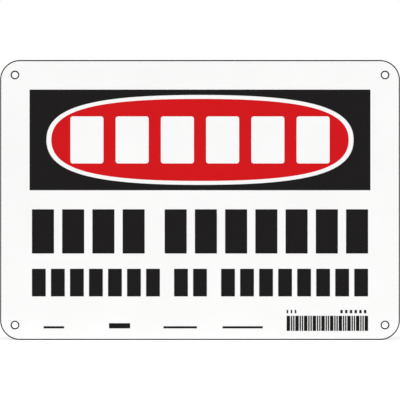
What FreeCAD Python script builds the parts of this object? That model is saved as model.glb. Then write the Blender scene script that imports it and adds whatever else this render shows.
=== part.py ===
import FreeCAD
import Part

import os
from FreeCAD import Vector

# A flat safety sign for a wall, a fence or a pole: one punched sheet-metal plate with rounded
# corners and four screw holes, printed on its front in black and red. White shows where the
# plate is left unprinted: the oval ring of the header and the blocks inside its red field.
# The print is plain fields of ink, with rows of like upright blocks.
#
# Millimetres. +Z is up, +X is the reader's right, and the reader looks along +Y. The origin is
# the centre of the back face, which lies on the wall, so the whole sign is at negative Y.

# Plate, punched from sheet
plate_width = 254.0
plate_height = 177.8
plate_thickness = 1.6
plate_corner_radius = 12.7
front_edge_radius = 0.5
back_edge_chamfer = 0.15

# Screw holes, one in each corner
hole_diameter = 3.97
hole_inset = 9.525

# Print: one coat of ink on the front face
ink_thickness = 0.05

# Header: a black panel around an oval, and the unprinted blocks of the red field
panel_side_margin = 18.8
panel_top_margin = 18.8
panel_height = 63.9
oval_end_gap = 10.7
oval_top_gap = 3.4
oval_fullness = 0.72
ring_width_at_ends = 3.1
ring_width_at_top = 2.5
header_blocks = 6
header_block_gap = 7.7
header_block_radius = 1.6
header_row_end_gap = 12.1
header_row_top_gap = 11.1

# Message: two rows of black blocks in groups, which fill the plate from the panel to the strip
message_side_margin = 20.3
upper_row_groups = (4, 7)
upper_row_top_gap = 12.1
upper_row_block_gap = 5.2
upper_row_group_gap = 12.7
lower_row_groups = (7, 2, 8)
lower_row_top_gap = 9.7
lower_row_bottom_gap = 8.6
lower_row_block_gap = 3.3
lower_row_group_gap = 9.0
rows_proportion = 1.6  # how many times the lower row the upper one is

# Bar strip at the lower right, with a few small marks above each end
strip_bottom_margin = 5.8
strip_height = 9.6
strip_groups = 9
narrow_bars_in_group = 2
wide_bar_width = 2.2
narrow_bar_width = 0.9
strip_bar_gap = 0.5
mark_height = 2.1
mark_bottom_gap = 1.6
left_marks = 3
left_mark_width = 1.0
left_mark_gap = 1.55
right_marks = 6
right_mark_width = 1.5
right_mark_gap = 1.5
right_marks_end_gap = 1.1

# Footer: four bars on one base line, left of the strip. Where the plate gets wider or narrower,
# the gaps after the bars keep their proportions to each other.
footer_left_margin = 27.7
footer_bottom_margin = 7.4
thin_bar_height = 1.35
tall_bar_height = 3.3
first_bar_length = 13.0
tall_bar_length = 13.4
second_bar_length = 21.3
third_bar_length = 25.6
gap_after_first_bar = 28.5
gap_after_tall_bar = 21.1
gap_after_second_bar = 16.2
gap_after_third_bar = 15.1

# Positions that follow from the sizes above
half_width = plate_width / 2
half_height = plate_height / 2
front_y = -plate_thickness
panel_top = half_height - panel_top_margin
panel_bottom = panel_top - panel_height
panel_half_width = half_width - panel_side_margin
header_centre_z = (panel_top + panel_bottom) / 2
oval_half_length = panel_half_width - oval_end_gap
oval_half_height = panel_height / 2 - oval_top_gap
red_half_length = oval_half_length - ring_width_at_ends
red_half_height = oval_half_height - ring_width_at_top
message_half_width = half_width - message_side_margin
strip_bottom = strip_bottom_margin - half_height
marks_bottom = strip_bottom + strip_height + mark_bottom_gap
marks_top = marks_bottom + mark_height
upper_row_top = panel_bottom - upper_row_top_gap
lower_row_bottom = marks_top + lower_row_bottom_gap
rows_height = upper_row_top - lower_row_bottom - lower_row_top_gap
lower_row_height = rows_height / (1 + rows_proportion)
upper_row_height = rows_height - lower_row_height

# Widths of the strip's bars, from left to right. A last wide bar closes it at the margin.
strip_group = [wide_bar_width] + [narrow_bar_width] * narrow_bars_in_group
strip_bars = strip_group * strip_groups + [wide_bar_width]
strip_right = message_half_width
strip_left = strip_right - sum(strip_bars) - (len(strip_bars) - 1) * strip_bar_gap


def rectangle(left, right, bottom, top, radius, y):
    """Flat face in the plane y, with rounded corners of the given radius."""
    diagonal = radius * 0.5**0.5
    arcs = []
    for side, level in ((-1, 1), (1, 1), (1, -1), (-1, -1)):
        centre = Vector(right - radius if side > 0 else left + radius, y, 0)
        centre.z = top - radius if level > 0 else bottom + radius
        upright_end = centre + Vector(side * radius, 0, 0)
        middle = centre + Vector(side * diagonal, 0, level * diagonal)
        level_end = centre + Vector(0, 0, level * radius)
        clockwise = (level_end, upright_end) if side * level > 0 else (upright_end, level_end)
        arcs.append(Part.Arc(clockwise[0], middle, clockwise[1]))
    edges = []
    for arc, following in zip(arcs, arcs[1:] + arcs[:1]):
        edges.append(arc.toShape())
        edges.append(Part.LineSegment(arc.EndPoint, following.StartPoint).toShape())
    return Part.Face(Part.Wire(edges))


def oval(half_length, half_height):
    """Flat face on the plate's front, centred on the header: four like Bezier quarters.

    A quarter's two middle poles lie the fullness along the tangents at its ends. At 0.55 the
    oval would be an ellipse, and at a higher value it fills more of its corners.
    """
    centre = Vector(0, front_y, header_centre_z)
    edges = []
    for side, level in ((1, 1), (-1, 1), (-1, -1), (1, -1)):
        end = centre + Vector(side * half_length, 0, 0)
        crown = centre + Vector(0, 0, level * half_height)
        over_end = end + Vector(0, 0, level * half_height * oval_fullness)
        beside_crown = crown + Vector(side * half_length * oval_fullness, 0, 0)
        poles = [end, over_end, beside_crown, crown]
        quarter = Part.BezierCurve()
        quarter.setPoles(poles if side * level > 0 else poles[::-1])
        edges.append(quarter.toShape())
    return Part.Face(Part.Wire(edges))


def flat_face_edges(solid, y):
    """Edges of the solid's flat face in the plane y: its outline and the rims of its holes."""
    return min(solid.Faces, key=lambda face: abs(face.CenterOfMass.y - y)).Edges


def hole_centres():
    """Centre lines of the four screw holes, as (x, z)."""
    x = half_width - hole_inset
    z = half_height - hole_inset
    return [(side * x, level * z) for level in (1, -1) for side in (-1, 1)]


def sign_plate():
    """The sheet and its holes, with every front edge rounded over and every back edge broken."""
    outline = rectangle(
        -half_width, half_width, -half_height, half_height, plate_corner_radius, 0
    )
    plate = outline.extrude(Vector(0, front_y, 0))
    for x, z in hole_centres():
        back = Vector(x, 0, z)
        plate = plate.cut(
            Part.makeCylinder(hole_diameter / 2, plate_thickness, back, Vector(0, -1, 0))
        )
    plate = plate.makeFillet(front_edge_radius, flat_face_edges(plate, front_y))
    return plate.makeChamfer(back_edge_chamfer, flat_face_edges(plate, 0))


def inked(face):
    """One coat of ink over a face that lies on the front of the plate."""
    return face.extrude(Vector(0, -ink_thickness, 0))


def bar(left, length, bottom, height):
    """An inked bar with square corners, from its lower left corner."""
    corner = Vector(left, front_y - ink_thickness, bottom)
    return Part.makeBox(length, ink_thickness, height, corner)


def block_places(half_length, groups, block_gap, group_gap):
    """Left edge of each block in a row across the plate's middle, and the width they share.

    The groups give how many blocks stand between two group gaps.
    """
    blocks = sum(groups)
    gaps = (blocks - len(groups)) * block_gap + (len(groups) - 1) * group_gap
    width = (2 * half_length - gaps) / blocks
    lefts = []
    left = -half_length
    for blocks_in_group in groups:
        for _ in range(blocks_in_group):
            lefts.append(left)
            left += width + block_gap
        left += group_gap - block_gap
    return lefts, width


def header_panel_print():
    """The black panel, open where the oval ring and the red field are."""
    panel = bar(-panel_half_width, 2 * panel_half_width, panel_bottom, panel_height)
    return panel.cut(inked(oval(oval_half_length, oval_half_height)))


def header_oval_print():
    """The red field, open where its row of blocks is."""
    top = header_centre_z + red_half_height - header_row_top_gap
    bottom = header_centre_z - red_half_height + header_row_top_gap
    row_half_length = red_half_length - header_row_end_gap
    lefts, width = block_places(row_half_length, (header_blocks,), header_block_gap, 0)
    field = oval(red_half_length, red_half_height)
    for left in lefts:
        block = rectangle(left, left + width, bottom, top, header_block_radius, front_y)
        field = field.cut(block)
    return inked(field.Faces[0])


def upper_row_print():
    """The upper message row, under the panel."""
    bottom = upper_row_top - upper_row_height
    lefts, width = block_places(
        message_half_width, upper_row_groups, upper_row_block_gap, upper_row_group_gap
    )
    return Part.makeCompound([bar(left, width, bottom, upper_row_height) for left in lefts])


def lower_row_print():
    """The lower message row, over the strip."""
    lefts, width = block_places(
        message_half_width, lower_row_groups, lower_row_block_gap, lower_row_group_gap
    )
    return Part.makeCompound(
        [bar(left, width, lower_row_bottom, lower_row_height) for left in lefts]
    )


def footer_print():
    """The bars of the base line, spread from the left margin to the strip."""
    bars = (
        (first_bar_length, thin_bar_height, gap_after_first_bar),
        (tall_bar_length, tall_bar_height, gap_after_tall_bar),
        (second_bar_length, thin_bar_height, gap_after_second_bar),
        (third_bar_length, thin_bar_height, gap_after_third_bar),
    )
    left = footer_left_margin - half_width
    lengths = sum(length for length, _, _ in bars)
    stretch = (strip_left - left - lengths) / sum(gap for _, _, gap in bars)
    solids = []
    for length, height, gap in bars:
        solids.append(bar(left, length, footer_bottom_margin - half_height, height))
        left += length + gap * stretch
    return Part.makeCompound(solids)


def bar_strip_print():
    """The strip's wide and narrow bars, and the marks above its two ends."""
    solids = []
    left = strip_left
    for width in strip_bars:
        solids.append(bar(left, width, strip_bottom, strip_height))
        left += width + strip_bar_gap
    left = strip_left
    for _ in range(left_marks):
        solids.append(bar(left, left_mark_width, marks_bottom, mark_height))
        left += left_mark_width + left_mark_gap
    right = strip_right - right_marks_end_gap
    for _ in range(right_marks):
        left = right - right_mark_width
        solids.append(bar(left, right_mark_width, marks_bottom, mark_height))
        right = left - right_mark_gap
    return Part.makeCompound(solids)


def main():
    """Builds every node and writes it as its own file."""
    nodes = {
        "sign_plate": sign_plate(),
        "header_panel_print": header_panel_print(),
        "header_oval_print": header_oval_print(),
        "upper_row_print": upper_row_print(),
        "lower_row_print": lower_row_print(),
        "footer_print": footer_print(),
        "bar_strip_print": bar_strip_print(),
    }
    os.makedirs("parts", exist_ok=True)
    for name, shape in nodes.items():
        shape.exportStep(os.path.join("parts", name + ".step"))
        print(name, len(shape.Solids), "solids", round(shape.Volume, 3), "mm3", shape.isValid())


main()
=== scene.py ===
"""Looks of a printed sheet-metal safety sign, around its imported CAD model.

The real thing is one aluminium sheet, coated white on its front and then punched out with four
screw holes, with black and red ink screen-printed on the coat. The print is plain fields and
rows of blocks. Lengths are in metres, +X is the reader's right, +Z is up, and the front looks
to -Y. The back lies in the plane Y = 0.
"""

import logging
import math
from dataclasses import dataclass, field
from enum import Enum

import bmesh
import bpy
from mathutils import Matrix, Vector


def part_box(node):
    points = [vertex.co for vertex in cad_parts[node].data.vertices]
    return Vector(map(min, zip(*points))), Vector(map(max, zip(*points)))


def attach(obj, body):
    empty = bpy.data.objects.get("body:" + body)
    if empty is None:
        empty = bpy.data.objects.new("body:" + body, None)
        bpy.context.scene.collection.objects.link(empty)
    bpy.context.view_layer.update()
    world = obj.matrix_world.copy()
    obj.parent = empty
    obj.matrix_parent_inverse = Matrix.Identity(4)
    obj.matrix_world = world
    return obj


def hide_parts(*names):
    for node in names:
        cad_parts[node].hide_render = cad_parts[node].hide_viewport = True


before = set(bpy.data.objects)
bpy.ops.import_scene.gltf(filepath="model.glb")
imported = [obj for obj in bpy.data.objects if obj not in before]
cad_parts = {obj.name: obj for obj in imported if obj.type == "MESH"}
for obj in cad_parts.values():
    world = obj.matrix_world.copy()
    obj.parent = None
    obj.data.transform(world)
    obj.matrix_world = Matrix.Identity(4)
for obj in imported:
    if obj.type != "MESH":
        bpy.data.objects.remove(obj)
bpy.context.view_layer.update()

BODY = "root"
MM = 0.001
QUARTER_TURN = math.pi / 2
SHARP_ANGLE = math.radians(30)

# The sign's corners as side and level, anticlockwise from the reader's top right
CORNERS = ((1, 1), (-1, 1), (-1, -1), (1, -1))

# Nearly all of a noise pattern lies between these values.
NOISE_LOW = 0.3
NOISE_HIGH = 0.7

# Settings of the Mix node, to blend two colours or to shade one
COLOUR_MIX = {"data_type": "RGBA"}
SHADING_MIX = {"data_type": "RGBA", "blend_type": "MULTIPLY"}

# Its sockets when it mixes colours
SHARE = 0
COLOUR_A = 6
COLOUR_B = 7
MIXED = 2

log = logging.getLogger("safety_sign")


def linear(hex_colour: str) -> tuple[float, float, float, float]:
    """Turns an sRGB colour such as "#D21B1F" into linear red, green, blue and alpha.

    The numbers in it are those of the sRGB standard.

    Args:
        hex_colour: six hexadecimal digits after a hash sign.

    Returns:
        The linear colour, with an alpha of 1.
    """
    channels = []
    for start in (1, 3, 5):
        value = int(hex_colour[start : start + 2], 16) / 255
        channels.append(value / 12.92 if value <= 0.04045 else ((value + 0.055) / 1.055) ** 2.4)
    return (channels[0], channels[1], channels[2], 1.0)


def add_node(
    tree: bpy.types.NodeTree,
    kind: str,
    settings: dict[str, object] | None = None,
    inputs: dict[str | int, object] | None = None,
) -> bpy.types.Node:
    """Adds a node to a tree, with its settings and what goes into it.

    Args:
        tree: the shader or geometry tree.
        kind: the node's type name.
        settings: the node's own properties by name.
        inputs: for each input, a value, an output socket, or a list of output sockets.

    Returns:
        The new node.
    """
    node = tree.nodes.new(kind)
    for name, value in (settings or {}).items():
        setattr(node, name, value)
    for key, value in (inputs or {}).items():
        for source in value if isinstance(value, list) else [value]:
            if isinstance(source, bpy.types.NodeSocket):
                tree.links.new(source, node.inputs[key])
            else:
                node.inputs[key].default_value = source
    return node


def start_finish(name: str) -> tuple[bpy.types.Material, bpy.types.Node, bpy.types.NodeSocket]:
    """Starts a finish: a material with a Principled shader and a place to read patterns from.

    Args:
        name: the material's name.

    Returns:
        The material, its Principled node, and the object coordinates in metres.
    """
    material = bpy.data.materials.new(name)
    material.use_nodes = True
    place = add_node(material.node_tree, "ShaderNodeTexCoord").outputs["Object"]
    return material, material.node_tree.nodes["Principled BSDF"], place


def speckle(
    tree: bpy.types.NodeTree,
    place: bpy.types.NodeSocket,
    size_mm: tuple[float, float, float],
    low: float = 0.0,
    high: float = 1.0,
    detail: float = 2.0,
) -> bpy.types.NodeSocket:
    """Adds a random pattern whose spots have a real size along each axis.

    Args:
        tree: the shader tree.
        place: the coordinates in metres.
        size_mm: the spots' size along X, Y and Z.
        low: the pattern's value in its darkest spots.
        high: the pattern's value in its lightest spots.
        detail: how many finer layers lie on the first.

    Returns:
        The pattern's value.
    """
    scale = tuple(1 / (size * MM) for size in size_mm)
    stretched = add_node(tree, "ShaderNodeMapping", inputs={"Vector": place, "Scale": scale})
    noise = add_node(
        tree,
        "ShaderNodeTexNoise",
        inputs={"Vector": stretched.outputs[0], "Scale": 1.0, "Detail": detail},
    )
    ranged = add_node(
        tree,
        "ShaderNodeMapRange",
        inputs={
            "Value": noise.outputs[0],
            "From Min": NOISE_LOW,
            "From Max": NOISE_HIGH,
            "To Min": low,
            "To Max": high,
        },
    )
    return ranged.outputs[0]


@dataclass(frozen=True)
class CoilCoat:
    """White polyester coil coat, baked on the flat sheet before it is punched.

    It gives the eye an even, clean white with a soft sheen and a faint orange peel.
    """

    name: str = "white_polyester_coil_coat"
    colour: str = "#F7F7F7"
    cloud_colour: str = "#F4F4F4"
    cloud_mm: float = 45.0
    # Real orange peel is near 1 mm across, which is as fine as the render can show.
    peel_mm: float = 1.4
    peel_height_mm: float = 0.006
    roughness: tuple[float, float] = (0.34, 0.42)
    specular: float = 0.35

    def material(self) -> bpy.types.Material:
        """Builds the coat.

        Returns:
            The coat's material.
        """
        material, shader, place = start_finish(self.name)
        tree = material.node_tree
        cloud = speckle(tree, place, (self.cloud_mm,) * 3)
        colour = add_node(
            tree,
            "ShaderNodeMix",
            COLOUR_MIX,
            {SHARE: cloud, COLOUR_A: linear(self.colour), COLOUR_B: linear(self.cloud_colour)},
        )
        peel = add_node(
            tree,
            "ShaderNodeBump",
            inputs={
                "Height": speckle(tree, place, (self.peel_mm,) * 3),
                "Distance": self.peel_height_mm * MM,
            },
        )
        sheen = speckle(tree, place, (self.cloud_mm,) * 3, *self.roughness)
        tree.links.new(colour.outputs[MIXED], shader.inputs["Base Color"])
        tree.links.new(sheen, shader.inputs["Roughness"])
        tree.links.new(peel.outputs[0], shader.inputs["Normal"])
        shader.inputs["Specular IOR Level"].default_value = self.specular
        return material


@dataclass(frozen=True)
class PunchedEdge:
    """Cut edge of the aluminium sheet, where the punch went through from the front.

    It gives the eye three bands: a rolled-over rim of bare metal whose near-black colour is
    painted edge shade, a burnished band that the punch rubbed, and a dull torn band towards the
    back, with fine scratches along the punch's way.
    """

    name: str = "punched_aluminium_edge"
    # Painted edge shade: the bare rolled-over rim is given a near-black colour
    rim_shade_colour: str = "#1C1C1E"
    burnished_colour: str = "#A3A5A8"
    torn_colour: str = "#7D7F82"
    # The bands end at these Y. The front is at -1.6 and the back at 0.
    rim_end_mm: float = -1.08
    burnish_end_mm: float = -0.55
    blend_mm: float = 0.06
    scratch_mm: tuple[float, float, float] = (0.35, 3.0, 0.35)
    scratch_detail: float = 4.0
    scratch_strength: float = 0.25
    scratch_depth_mm: float = 0.01
    dull_spot_mm: tuple[float, float, float] = (1.2, 0.5, 1.2)
    wall_metallic: float = 0.6
    roughness: tuple[float, float] = (0.45, 0.62)
    specular: float = 0.05

    def band(
        self,
        tree: bpy.types.NodeTree,
        depth: bpy.types.NodeSocket,
        start_mm: float,
        full: float = 1.0,
    ) -> bpy.types.NodeSocket:
        """Tells where a band has started.

        Args:
            tree: the shader tree.
            depth: the place's Y in metres.
            start_mm: the Y where the band starts.
            full: the value inside the band.

        Returns:
            0 in front of the start and the full value behind it, with a short blend.
        """
        inputs = {
            "Value": depth,
            "From Min": (start_mm - self.blend_mm) * MM,
            "From Max": (start_mm + self.blend_mm) * MM,
            "To Max": full,
        }
        return add_node(tree, "ShaderNodeMapRange", inputs=inputs).outputs[0]

    def material(self) -> bpy.types.Material:
        """Builds the cut edge.

        Returns:
            The cut edge's material.
        """
        material, shader, place = start_finish(self.name)
        tree = material.node_tree
        depth = add_node(tree, "ShaderNodeSeparateXYZ", inputs={0: place}).outputs["Y"]
        scratches = speckle(tree, place, self.scratch_mm, detail=self.scratch_detail)
        # The front band takes the painted edge shade; the burnished and torn bands are the metal's
        # own tones
        burnished = add_node(
            tree,
            "ShaderNodeMix",
            COLOUR_MIX,
            {
                SHARE: self.band(tree, depth, self.rim_end_mm),
                COLOUR_A: linear(self.rim_shade_colour),
                COLOUR_B: linear(self.burnished_colour),
            },
        )
        torn = add_node(
            tree,
            "ShaderNodeMix",
            COLOUR_MIX,
            {
                SHARE: self.band(tree, depth, self.burnish_end_mm),
                COLOUR_A: burnished.outputs[MIXED],
                COLOUR_B: linear(self.torn_colour),
            },
        )
        scratched = add_node(
            tree,
            "ShaderNodeMix",
            SHADING_MIX,
            {SHARE: self.scratch_strength, COLOUR_A: torn.outputs[MIXED], COLOUR_B: scratches},
        )
        relief = add_node(
            tree,
            "ShaderNodeBump",
            inputs={"Height": scratches, "Distance": self.scratch_depth_mm * MM},
        )
        dullness = speckle(tree, place, self.dull_spot_mm, *self.roughness)
        tree.links.new(scratched.outputs[MIXED], shader.inputs["Base Color"])
        tree.links.new(dullness, shader.inputs["Roughness"])
        tree.links.new(relief.outputs[0], shader.inputs["Normal"])
        metal = self.band(tree, depth, self.rim_end_mm, self.wall_metallic)
        tree.links.new(metal, shader.inputs["Metallic"])
        shader.inputs["Specular IOR Level"].default_value = self.specular
        return material


@dataclass(frozen=True)
class MillFinish:
    """Bare rolled aluminium on the back.

    It gives the eye a light grey metal with a grain along the rolling direction and faint
    cloudy patches of handling.
    """

    name: str = "mill_finish_aluminium"
    colour: str = "#D3D6D9"
    streak_colour: str = "#BCC0C4"
    patch_colour: str = "#C9CBCD"
    # Rolling lines are finer than 0.1 mm. These are as coarse as the render needs.
    streak_mm: tuple[float, float, float] = (90.0, 1.0, 0.9)
    streak_detail: float = 5.0
    patch_mm: tuple[float, float, float] = (70.0, 1.0, 45.0)
    patch_strength: float = 0.6
    relief_mm: float = 0.008
    roughness: tuple[float, float] = (0.3, 0.42)

    def material(self) -> bpy.types.Material:
        """Builds the bare back.

        Returns:
            The back's material.
        """
        material, shader, place = start_finish(self.name)
        tree = material.node_tree
        streaks = speckle(tree, place, self.streak_mm, detail=self.streak_detail)
        patches = speckle(tree, place, self.patch_mm, high=self.patch_strength)
        rolled = add_node(
            tree,
            "ShaderNodeMix",
            COLOUR_MIX,
            {SHARE: streaks, COLOUR_A: linear(self.colour), COLOUR_B: linear(self.streak_colour)},
        )
        handled = add_node(
            tree,
            "ShaderNodeMix",
            COLOUR_MIX,
            {
                SHARE: patches,
                COLOUR_A: rolled.outputs[MIXED],
                COLOUR_B: linear(self.patch_colour),
            },
        )
        relief = add_node(
            tree, "ShaderNodeBump", inputs={"Height": streaks, "Distance": self.relief_mm * MM}
        )
        dullness = speckle(tree, place, self.streak_mm, *self.roughness)
        tree.links.new(handled.outputs[MIXED], shader.inputs["Base Color"])
        tree.links.new(dullness, shader.inputs["Roughness"])
        tree.links.new(relief.outputs[0], shader.inputs["Normal"])
        shader.inputs["Metallic"].default_value = 1.0
        return material


class InkColour(Enum):
    """The two inks of the print, as the sRGB of their pigment."""

    BLACK = "#0F0C0D"
    RED = "#D10A12"


@dataclass(frozen=True)
class ScreenInk:
    """Screen-printed vinyl ink on the coat.

    It gives the eye an even, semi-matt colour. The mesh of the screen leaves a very slight
    texture, which is drawn at 1.5 mm because the real 0.2 mm is too fine to show.
    """

    colour: InkColour
    roughness: tuple[float, float] = (0.44, 0.54)
    specular: float = 0.12
    mesh_mm: float = 1.5
    mesh_height_mm: float = 0.004
    cloud_mm: float = 30.0
    cloud_strength: float = 0.06

    @property
    def slot(self) -> str:
        """The ink's short name, such as black_ink, that its material's name is built from."""
        return self.colour.name.lower() + "_ink"

    def material(self) -> bpy.types.Material:
        """Builds the ink.

        Returns:
            The ink's material.
        """
        material, shader, place = start_finish("screen_printed_" + self.slot)
        tree = material.node_tree
        pigment = linear(self.colour.value)
        cloud = speckle(tree, place, (self.cloud_mm,) * 3, low=1 - self.cloud_strength)
        mottled = add_node(
            tree,
            "ShaderNodeMix",
            SHADING_MIX,
            {SHARE: 1.0, COLOUR_A: pigment, COLOUR_B: cloud},
        )
        texture = add_node(
            tree,
            "ShaderNodeBump",
            inputs={
                "Height": speckle(tree, place, (self.mesh_mm,) * 3),
                "Distance": self.mesh_height_mm * MM,
            },
        )
        sheen = speckle(tree, place, (self.cloud_mm,) * 3, *self.roughness)
        tree.links.new(mottled.outputs[MIXED], shader.inputs["Base Color"])
        tree.links.new(sheen, shader.inputs["Roughness"])
        tree.links.new(texture.outputs[0], shader.inputs["Normal"])
        shader.inputs["Specular IOR Level"].default_value = self.specular
        return material


def stand_for(piece: bpy.types.Object, node: str) -> None:
    """Lets a finished piece stand for its CAD node on the sign's one body.

    Args:
        piece: the finished piece.
        node: the CAD node that it replaces.
    """
    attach(piece, BODY)
    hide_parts(node)
    log.info("%s stands for %s, with %d faces", piece.name, node, len(piece.data.polygons))


@dataclass
class PunchedPlate:
    """The sheet: coated front, punched rim and holes, bare back."""

    corner_radius: float = 12.7 * MM
    edge_radius: float = 0.5 * MM
    back_break: float = 0.15 * MM
    # Bare metal that shows from the front, between the coat and the cut wall, coloured near black
    # as painted edge shade
    outline_rim: float = 0.78 * MM
    hole_rim: float = 0.82 * MM
    hole_radius: float = 1.985 * MM
    hole_inset: float = 9.525 * MM
    corner_steps: int = 24
    hole_steps: int = 48
    edge_steps: int = 6
    node: str = "sign_plate"
    coat_slot: int = 0
    edge_slot: int = 1
    back_slot: int = 2
    half_width: float = field(init=False)
    half_height: float = field(init=False)
    front: float = field(init=False)
    back: float = field(init=False)

    def __post_init__(self) -> None:
        """Takes the sheet's width, height and thickness from the CAD node."""
        low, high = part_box(self.node)
        self.half_width = (high[0] - low[0]) / 2
        self.half_height = (high[2] - low[2]) / 2
        self.front = low[1]
        self.back = high[1]

    def edge_profile(self, bare_rim: float) -> list[tuple[float, float]]:
        """Goes over the sheet's edge, from the border of the coat to the back.

        Args:
            bare_rim: how far the coat's border lies from the wall.

        Returns:
            For each step, how far it lies from the wall towards the coat, and its Y.
        """
        profile = [(bare_rim, self.front)]
        for step in range(self.edge_steps + 1):
            angle = QUARTER_TURN * step / self.edge_steps
            inset = self.edge_radius * (1 - math.sin(angle))
            profile.append((inset, self.front + self.edge_radius * (1 - math.cos(angle))))
        profile.append((0.0, self.back - self.back_break))
        profile.append((self.back_break, self.back))
        return profile

    def outline(self, inset: float) -> list[tuple[float, float]]:
        """Goes round the sheet's rounded corners.

        Args:
            inset: how far inside the widest outline.

        Returns:
            The outline's points, as X and Z.
        """
        points = []
        radius = self.corner_radius - inset
        for corner, (side, level) in enumerate(CORNERS):
            centre_x = side * (self.half_width - self.corner_radius)
            centre_z = level * (self.half_height - self.corner_radius)
            for step in range(self.corner_steps + 1):
                angle = QUARTER_TURN * (corner + step / self.corner_steps)
                x = centre_x + radius * math.cos(angle)
                points.append((x, centre_z + radius * math.sin(angle)))
        return points

    def hole(self, side: int, level: int, inset: float) -> list[tuple[float, float]]:
        """Goes round one screw hole.

        Args:
            side: 1 for the reader's right and -1 for the left.
            level: 1 for the top and -1 for the bottom.
            inset: how far outside the hole's wall.

        Returns:
            The circle's points, as X and Z.
        """
        centre_x = side * (self.half_width - self.hole_inset)
        centre_z = level * (self.half_height - self.hole_inset)
        radius = self.hole_radius + inset
        turns = [2 * math.pi * step / self.hole_steps for step in range(self.hole_steps)]
        return [
            (centre_x + radius * math.cos(turn), centre_z + radius * math.sin(turn))
            for turn in turns
        ]

    def mesh(self) -> bpy.types.Mesh:
        """Builds the closed sheet, with a material slot each for coat, cut edge and back.

        Returns:
            The sheet's mesh.
        """
        profile = self.edge_profile(self.outline_rim)
        walls = [[(self.outline(inset), y) for inset, y in profile]]
        profile = self.edge_profile(self.hole_rim)
        for side, level in CORNERS:
            walls.append([(self.hole(side, level, inset), y) for inset, y in profile])
        sheet = bmesh.new()
        front_edges = []
        back_edges = []
        for wall in walls:
            loops = [[sheet.verts.new((x, y, z)) for x, z in points] for points, y in wall]
            for near, far in zip(loops, loops[1:]):
                for here, there in zip(range(-1, len(near) - 1), range(len(near))):
                    corners = (near[here], near[there], far[there], far[here])
                    sheet.faces.new(corners).material_index = self.edge_slot
            for loop, edges in ((loops[0], front_edges), (loops[-1], back_edges)):
                edges += [sheet.edges.get(pair) for pair in zip(loop, loop[1:] + loop[:1])]
        for edges, slot in ((front_edges, self.coat_slot), (back_edges, self.back_slot)):
            filled = bmesh.ops.triangle_fill(sheet, edges=edges, use_beauty=True)
            for face in filled["geom"]:
                if isinstance(face, bmesh.types.BMFace):
                    face.material_index = slot
        bmesh.ops.recalc_face_normals(sheet, faces=sheet.faces)
        mesh = bpy.data.meshes.new("coated_sign_plate")
        sheet.to_mesh(mesh)
        sheet.free()
        mesh.shade_smooth()
        mesh.set_sharp_from_angle(angle=SHARP_ANGLE)
        return mesh

    def build(self) -> None:
        """Builds the plate, dresses it, and lets it stand for the CAD plate."""
        mesh = self.mesh()
        for finish in (CoilCoat(), PunchedEdge(), MillFinish()):
            mesh.materials.append(finish.material())
        piece = bpy.data.objects.new(mesh.name, mesh)
        bpy.context.collection.objects.link(piece)
        stand_for(piece, self.node)


@dataclass(frozen=True)
class PrintArea:
    """The rectangle of the front that a CAD node's print covers."""

    left: float
    right: float
    bottom: float
    top: float

    @classmethod
    def of(cls, node: str) -> "PrintArea":
        """Reads the area from a CAD node's box."""
        low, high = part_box(node)
        return cls(low[0], high[0], low[2], high[2])

    @property
    def width(self) -> float:
        """The area's length along X."""
        return self.right - self.left

    @property
    def height(self) -> float:
        """The area's length along Z."""
        return self.top - self.bottom


@dataclass(frozen=True)
class BlockRun:
    """Like blocks on one level at an even pitch. A single bar is a run of one."""

    left: float
    bottom: float
    width: float
    height: float
    corner_radius: float
    count: int = 1
    pitch: float = 0.0

    def inputs(self) -> dict[str, object]:
        """Gives the run's sizes to the tree that makes it.

        Returns:
            The value of each of the tree's inputs by its name.
        """
        return {
            "Count": self.count,
            "Block Width": self.width,
            "Block Height": self.height,
            "Pitch": self.pitch,
            "First Middle X": self.left + self.width / 2,
            "Middle Z": self.bottom + self.height / 2,
            "Corner Radius": self.corner_radius,
        }


@dataclass(frozen=True)
class Oval:
    """A full oval, centred on the sign's middle line, of four Bezier quarters."""

    half_length: float
    half_height: float
    middle_z: float
    # 0.55 would be an ellipse. A higher share fills more of the corners.
    fullness: float = 0.72
    steps: int = 48

    def add_to(self, outline: bpy.types.Curve) -> None:
        """Adds the oval to a curve in its own XY plane, where Y stands for Z.

        Args:
            outline: the curve.
        """
        spline = outline.splines.new("BEZIER")
        spline.bezier_points.add(3)
        spline.use_cyclic_u = True
        spline.resolution_u = self.steps
        for turn, point in enumerate(spline.bezier_points):
            angle = turn * QUARTER_TURN
            across, up = round(math.cos(angle)), round(math.sin(angle))
            x = across * self.half_length
            z = self.middle_z + up * self.half_height
            reach_x = up * self.half_length * self.fullness
            reach_z = across * self.half_height * self.fullness
            point.co = (x, z, 0.0)
            point.handle_left_type = point.handle_right_type = "FREE"
            point.handle_left = (x + reach_x, z - reach_z, 0.0)
            point.handle_right = (x - reach_x, z + reach_z, 0.0)


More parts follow.
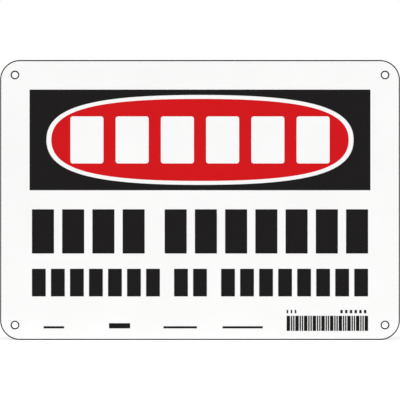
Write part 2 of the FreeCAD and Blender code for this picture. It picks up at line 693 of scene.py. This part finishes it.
@dataclass
class InkPress:
    """Makes the print: closed films of ink from outlines, by two trees of geometry nodes."""

    front: float
    corner_points: int = 6
    merge_distance: float = 0.001 * MM
    run_tree: bpy.types.NodeTree = field(init=False)
    film_tree: bpy.types.NodeTree = field(init=False)
    inks: dict[InkColour, ScreenInk] = field(init=False)
    materials: dict[InkColour, bpy.types.Material] = field(init=False)

    def __post_init__(self) -> None:
        """Builds the trees and the two inks."""
        self.run_tree = self.block_run_tree()
        self.film_tree = self.ink_film_tree()
        self.inks = {colour: ScreenInk(colour) for colour in InkColour}
        self.materials = {colour: ink.material() for colour, ink in self.inks.items()}

    @staticmethod
    def start_tree(name: str, sizes: dict[str, str]) -> tuple[bpy.types.NodeTree, bpy.types.Node]:
        """Starts a geometry tree with named inputs.

        Args:
            name: the tree's name.
            sizes: the kind of socket for each input after the geometry.

        Returns:
            The tree and its input node.
        """
        tree = bpy.data.node_groups.new(name, "GeometryNodeTree")
        tree.interface.new_socket("Geometry", in_out="OUTPUT", socket_type="NodeSocketGeometry")
        tree.interface.new_socket("Geometry", in_out="INPUT", socket_type="NodeSocketGeometry")
        for size, kind in sizes.items():
            tree.interface.new_socket(size, in_out="INPUT", socket_type="NodeSocket" + kind)
        return tree, add_node(tree, "NodeGroupInput")

    def block_run_tree(self) -> bpy.types.NodeTree:
        """Builds the tree that adds a run of rounded blocks to the outlines it is given.

        Returns:
            The tree.
        """
        tree, given = self.start_tree(
            "block_run",
            {
                "Count": "Int",
                "Block Width": "Float",
                "Block Height": "Float",
                "Pitch": "Float",
                "First Middle X": "Float",
                "Middle Z": "Float",
                "Corner Radius": "Float",
            },
        )
        sizes = given.outputs
        block = add_node(
            tree,
            "GeometryNodeCurvePrimitiveQuadrilateral",
            {"mode": "RECTANGLE"},
            {"Width": sizes["Block Width"], "Height": sizes["Block Height"]},
        )
        rounded = add_node(
            tree,
            "GeometryNodeFilletCurve",
            {"mode": "POLY"},
            {
                "Curve": block.outputs[0],
                "Count": self.corner_points,
                "Radius": sizes["Corner Radius"],
                "Limit Radius": True,
            },
        )
        start = add_node(
            tree, "ShaderNodeCombineXYZ", inputs={0: sizes["First Middle X"], 1: sizes["Middle Z"]}
        )
        step = add_node(tree, "ShaderNodeCombineXYZ", inputs={0: sizes["Pitch"]})
        places = add_node(
            tree,
            "GeometryNodeMeshLine",
            {"mode": "OFFSET", "count_mode": "TOTAL"},
            {
                "Count": sizes["Count"],
                "Start Location": start.outputs[0],
                "Offset": step.outputs[0],
            },
        )
        run = add_node(
            tree,
            "GeometryNodeInstanceOnPoints",
            inputs={"Points": places.outputs[0], "Instance": rounded.outputs[0]},
        )
        real = add_node(tree, "GeometryNodeRealizeInstances", inputs={0: run.outputs[0]})
        joined = add_node(
            tree, "GeometryNodeJoinGeometry", inputs={0: [sizes["Geometry"], real.outputs[0]]}
        )
        add_node(tree, "NodeGroupOutput", inputs={0: joined.outputs[0]})
        return tree

    def ink_film_tree(self) -> bpy.types.NodeTree:
        """Builds the tree that fills outlines and makes them a closed film on the front.

        Returns:
            The tree.
        """
        tree, given = self.start_tree(
            "ink_film", {"Thickness": "Float", "Front Y": "Float", "Ink": "Material"}
        )
        sizes = given.outputs
        filled = add_node(
            tree, "GeometryNodeFillCurve", {"mode": "TRIANGLES"}, {"Curve": sizes["Geometry"]}
        )
        face = add_node(
            tree,
            "GeometryNodeExtrudeMesh",
            {"mode": "FACES"},
            {
                "Mesh": filled.outputs[0],
                "Offset Scale": sizes["Thickness"],
                "Individual": False,
            },
        )
        base = add_node(tree, "GeometryNodeFlipFaces", inputs={0: filled.outputs[0]})
        shell = add_node(
            tree, "GeometryNodeJoinGeometry", inputs={0: [face.outputs[0], base.outputs[0]]}
        )
        closed = add_node(
            tree,
            "GeometryNodeMergeByDistance",
            inputs={"Geometry": shell.outputs[0], "Distance": self.merge_distance},
        )
        front = add_node(tree, "ShaderNodeCombineXYZ", inputs={1: sizes["Front Y"]})
        upright = add_node(
            tree,
            "GeometryNodeTransform",
            inputs={
                "Geometry": closed.outputs[0],
                "Translation": front.outputs[0],
                "Rotation": (QUARTER_TURN, 0.0, 0.0),
            },
        )
        real = add_node(tree, "GeometryNodeRealizeInstances", inputs={0: upright.outputs[0]})
        inked = add_node(
            tree,
            "GeometryNodeSetMaterial",
            inputs={"Geometry": real.outputs[0], "Material": sizes["Ink"]},
        )
        add_node(tree, "NodeGroupOutput", inputs={0: inked.outputs[0]})
        return tree

    @staticmethod
    def run_through(
        piece: bpy.types.Object, tree: bpy.types.NodeTree, values: dict[str, object]
    ) -> None:
        """Adds a tree to a piece, with a value for each named input.

        Args:
            piece: the object of the outlines.
            tree: the geometry tree.
            values: the inputs by name.
        """
        modifier = piece.modifiers.new(tree.name, "NODES")
        modifier.node_group = tree
        for socket in tree.interface.items_tree:
            if socket.in_out == "INPUT" and socket.name in values:
                modifier[socket.identifier] = values[socket.name]

    def print_film(
        self,
        name: str,
        node: str,
        colour: InkColour,
        runs: list[BlockRun],
        ovals: list[Oval] | None = None,
    ) -> None:
        """Prints one field of ink. An outline inside another one stays unprinted.

        Args:
            name: the piece's name.
            node: the CAD node that it replaces.
            colour: the ink.
            runs: its blocks and bars.
            ovals: its ovals.
        """
        outline = bpy.data.curves.new(name + "_outline", "CURVE")
        outline.dimensions = "3D"
        for oval in ovals or []:
            oval.add_to(outline)
        pattern = bpy.data.objects.new(outline.name, outline)
        bpy.context.collection.objects.link(pattern)
        for run in runs:
            self.run_through(pattern, self.run_tree, run.inputs())
        low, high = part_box(node)
        sizes = {"Thickness": high[1] - low[1], "Front Y": self.front}
        self.run_through(pattern, self.film_tree, sizes | {"Ink": self.materials[colour]})
        seen = bpy.context.evaluated_depsgraph_get()
        film = bpy.data.meshes.new_from_object(pattern.evaluated_get(seen), depsgraph=seen)
        bpy.data.curves.remove(outline)
        film.name = name
        film.shade_smooth()
        film.set_sharp_from_angle(angle=SHARP_ANGLE)
        piece = bpy.data.objects.new(name, film)
        bpy.context.collection.objects.link(piece)
        stand_for(piece, node)


@dataclass
class Header:
    """The black panel, the unprinted oval ring, and the red field with its row of windows."""

    panel_node: str = "header_panel_print"
    oval_node: str = "header_oval_print"
    panel_corner: float = 0.3 * MM
    ring_at_ends: float = 3.1 * MM
    ring_at_top: float = 2.5 * MM
    windows: int = 6
    window_gap: float = 7.7 * MM
    window_corner: float = 1.6 * MM
    row_end_gap: float = 12.1 * MM
    row_top_gap: float = 11.1 * MM

    def print_on(self, press: InkPress) -> None:
        """Prints the panel and the red field.

        Args:
            press: the press.
        """
        panel = PrintArea.of(self.panel_node)
        red = PrintArea.of(self.oval_node)
        middle_z = (red.bottom + red.top) / 2
        red_field = Oval(red.width / 2, red.height / 2, middle_z)
        opening = Oval(
            red_field.half_length + self.ring_at_ends,
            red_field.half_height + self.ring_at_top,
            middle_z,
        )
        ground = BlockRun(panel.left, panel.bottom, panel.width, panel.height, self.panel_corner)
        row_length = red.width - 2 * self.row_end_gap
        width = (row_length - (self.windows - 1) * self.window_gap) / self.windows
        row = BlockRun(
            left=red.left + self.row_end_gap,
            bottom=red.bottom + self.row_top_gap,
            width=width,
            height=red.height - 2 * self.row_top_gap,
            corner_radius=self.window_corner,
            count=self.windows,
            pitch=width + self.window_gap,
        )
        press.print_film(
            "black_header_panel", self.panel_node, InkColour.BLACK, [ground], [opening]
        )
        press.print_film("red_header_oval", self.oval_node, InkColour.RED, [row], [red_field])


@dataclass
class MessageRow:
    """A row of black blocks across the sign, in groups."""

    name: str
    node: str
    groups: tuple[int, ...]
    block_gap: float
    group_gap: float
    corner_radius: float = 0.3 * MM

    def print_on(self, press: InkPress) -> None:
        """Prints the row.

        Args:
            press: the press.
        """
        area = PrintArea.of(self.node)
        blocks = sum(self.groups)
        splits = len(self.groups) - 1
        gaps = (blocks - 1 - splits) * self.block_gap + splits * self.group_gap
        width = (area.width - gaps) / blocks
        pitch = width + self.block_gap
        left = area.left
        runs = []
        for count in self.groups:
            run = BlockRun(left, area.bottom, width, area.height, self.corner_radius, count, pitch)
            runs.append(run)
            left += (count - 1) * pitch + width + self.group_gap
        press.print_film(self.name, self.node, InkColour.BLACK, runs)


@dataclass
class Footer:
    """Four bars on the base line, left of the bar strip."""

    node: str = "footer_print"
    lengths: tuple[float, ...] = (13.0 * MM, 13.4 * MM, 21.3 * MM, 25.6 * MM)
    heights: tuple[float, ...] = (1.35 * MM, 3.3 * MM, 1.35 * MM, 1.35 * MM)
    gaps: tuple[float, ...] = (28.5 * MM, 21.1 * MM, 16.2 * MM)
    corner_radius: float = 0.15 * MM

    def print_on(self, press: InkPress) -> None:
        """Prints the bars.

        Args:
            press: the press.
        """
        area = PrintArea.of(self.node)
        stretch = (area.width - sum(self.lengths)) / sum(self.gaps)
        left = area.left
        runs = []
        for length, height, gap in zip(self.lengths, self.heights, self.gaps + (0.0,)):
            runs.append(BlockRun(left, area.bottom, length, height, self.corner_radius))
            left += length + gap * stretch
        press.print_film("footer_bars", self.node, InkColour.BLACK, runs)


@dataclass
class BarStrip:
    """The strip of wide and narrow bars, and the small marks above its two ends."""

    node: str = "bar_strip_print"
    groups: int = 9
    narrow_in_group: int = 2
    wide: float = 2.2 * MM
    narrow: float = 0.9 * MM
    bar_gap: float = 0.5 * MM
    strip_height: float = 9.6 * MM
    mark_height: float = 2.1 * MM
    left_marks: int = 3
    left_mark_width: float = 1.0 * MM
    left_mark_gap: float = 1.55 * MM
    right_marks: int = 6
    right_mark_width: float = 1.5 * MM
    right_mark_gap: float = 1.5 * MM
    right_marks_end_gap: float = 1.1 * MM
    corner_radius: float = 0.1 * MM

    def print_on(self, press: InkPress) -> None:
        """Prints the strip and its marks.

        Args:
            press: the press.
        """
        area = PrintArea.of(self.node)
        corner = self.corner_radius
        narrow_bars = self.narrow_in_group * self.narrow
        pitch = self.wide + narrow_bars + (self.narrow_in_group + 1) * self.bar_gap
        bars = [(self.wide, self.groups + 1)]
        bars += [(self.narrow, self.groups)] * self.narrow_in_group
        left = area.left
        runs = []
        for width, count in bars:
            run = BlockRun(left, area.bottom, width, self.strip_height, corner, count, pitch)
            runs.append(run)
            left += width + self.bar_gap
        right_pitch = self.right_mark_width + self.right_mark_gap
        right_length = self.right_marks * right_pitch - self.right_mark_gap
        right_start = area.right - self.right_marks_end_gap - right_length
        level = area.top - self.mark_height
        for left, width, count, gap in (
            (area.left, self.left_mark_width, self.left_marks, self.left_mark_gap),
            (right_start, self.right_mark_width, self.right_marks, self.right_mark_gap),
        ):
            run = BlockRun(left, level, width, self.mark_height, corner, count, width + gap)
            runs.append(run)
        press.print_film("bar_strip", self.node, InkColour.BLACK, runs)


@dataclass
class Studio:
    """A pale floor, a white surround, two soft lamps and the photograph's camera."""

    # A long lens, because the photograph shows the sign squarely, with no perspective
    lens: float = 300.0
    sensor: float = 36.0
    nearest_seen: float = 0.01
    lamp_strength: float = 1.04
    lamp_angle: float = math.radians(35)
    lamp_elevation: float = math.radians(60)
    lamp_azimuth: float = math.radians(40)
    surround_light: float = 0.56
    floor_size: float = 6.0
    floor_colour: str = "#F3F3F2"
    floor_roughness: float = 0.9
    floor_glow: float = 0.15

    @staticmethod
    def seen_directly(tree: bpy.types.NodeTree) -> bpy.types.NodeSocket:
        """Tells the camera's rays and reflections from the light that falls on the sign.

        Args:
            tree: a shader tree.

        Returns:
            1 for a camera, glossy or transmission ray, and 0 for any other.
        """
        ray = add_node(tree, "ShaderNodeLightPath").outputs
        mirrored = add_node(
            tree,
            "ShaderNodeMath",
            {"operation": "MAXIMUM"},
            {0: ray["Is Glossy Ray"], 1: ray["Is Transmission Ray"]},
        )
        seen = add_node(
            tree,
            "ShaderNodeMath",
            {"operation": "MAXIMUM"},
            {0: ray["Is Camera Ray"], 1: mirrored.outputs[0]},
        )
        return seen.outputs[0]

    def add_camera(self, plate: PunchedPlate) -> None:
        """Faces the sign squarely, from where its width just fills the picture.

        Args:
            plate: the plate that fills the picture.
        """
        camera_data = bpy.data.cameras.new("camera")
        camera_data.lens = self.lens
        camera_data.sensor_width = self.sensor
        camera_data.sensor_fit = "HORIZONTAL"
        camera_data.clip_start = self.nearest_seen
        camera = bpy.data.objects.new("camera", camera_data)
        distance = 2 * plate.half_width * self.lens / self.sensor
        camera.location = (0.0, plate.front + plate.edge_radius - distance, 0.0)
        camera.rotation_euler = (QUARTER_TURN, 0.0, 0.0)
        bpy.context.collection.objects.link(camera)
        bpy.context.scene.camera = camera

    def add_lamps(self) -> None:
        """Puts a soft lamp high up on each side in front of the sign."""
        for name, side in (("left_lamp", -1), ("right_lamp", 1)):
            lamp_data = bpy.data.lights.new(name, "SUN")
            lamp_data.energy = self.lamp_strength
            lamp_data.angle = self.lamp_angle
            lamp = bpy.data.objects.new(name, lamp_data)
            lamp.rotation_euler = (
                QUARTER_TURN - self.lamp_elevation,
                0.0,
                side * self.lamp_azimuth,
            )
            bpy.context.collection.objects.link(lamp)

    def add_surround(self) -> None:
        """Surrounds the sign with white, which lights it less than it shows."""
        world = bpy.data.worlds.new("white_surround")
        world.use_nodes = True
        tree = world.node_tree
        strength = add_node(
            tree,
            "ShaderNodeMapRange",
            inputs={
                "Value": self.seen_directly(tree),
                "To Min": self.surround_light,
                "To Max": 1.0,
            },
        )
        background = tree.nodes["Background"]
        background.inputs["Color"].default_value = linear("#FFFFFF")
        tree.links.new(strength.outputs[0], background.inputs["Strength"])
        bpy.context.scene.world = world

    def add_floor(self, plate: PunchedPlate) -> None:
        """Lays a pale matt floor under the sign's bottom edge.

        Args:
            plate: the plate that stands on it.
        """
        half = self.floor_size / 2
        corners = [(half * x, half * y, -plate.half_height) for x, y in CORNERS]
        mesh = bpy.data.meshes.new("studio_floor")
        mesh.from_pydata(corners, [], [(0, 1, 2, 3)])
        material, shader, _ = start_finish("matt_studio_floor")
        tree = material.node_tree
        glow = add_node(
            tree,
            "ShaderNodeMapRange",
            inputs={"Value": self.seen_directly(tree), "To Min": 0.0, "To Max": self.floor_glow},
        )
        shader.inputs["Base Color"].default_value = linear(self.floor_colour)
        shader.inputs["Roughness"].default_value = self.floor_roughness
        shader.inputs["Specular IOR Level"].default_value = 0.0
        shader.inputs["Emission Color"].default_value = linear("#FFFFFF")
        tree.links.new(glow.outputs[0], shader.inputs["Emission Strength"])
        mesh.materials.append(material)
        floor = bpy.data.objects.new(mesh.name, mesh)
        bpy.context.collection.objects.link(floor)

    def build(self, plate: PunchedPlate) -> None:
        """Sets up the whole studio around the plate.

        Args:
            plate: the plate that the camera looks at.
        """
        bpy.context.scene.view_settings.view_transform = "Standard"
        self.add_camera(plate)
        self.add_lamps()
        self.add_surround()
        self.add_floor(plate)


def main() -> None:
    """Builds the studio, the plate and its print."""
    logging.basicConfig(level=logging.INFO, format="%(name)s: %(message)s")
    plate = PunchedPlate()
    Studio().build(plate)
    plate.build()
    press = InkPress(plate.front)
    for section in (
        Header(),
        MessageRow("upper_message_row", "upper_row_print", (4, 7), 5.2 * MM, 12.7 * MM),
        MessageRow("lower_message_row", "lower_row_print", (7, 2, 8), 3.3 * MM, 9.0 * MM),
        Footer(),
        BarStrip(),
    ):
        section.print_on(press)


if __name__ == "__main__":
    main()
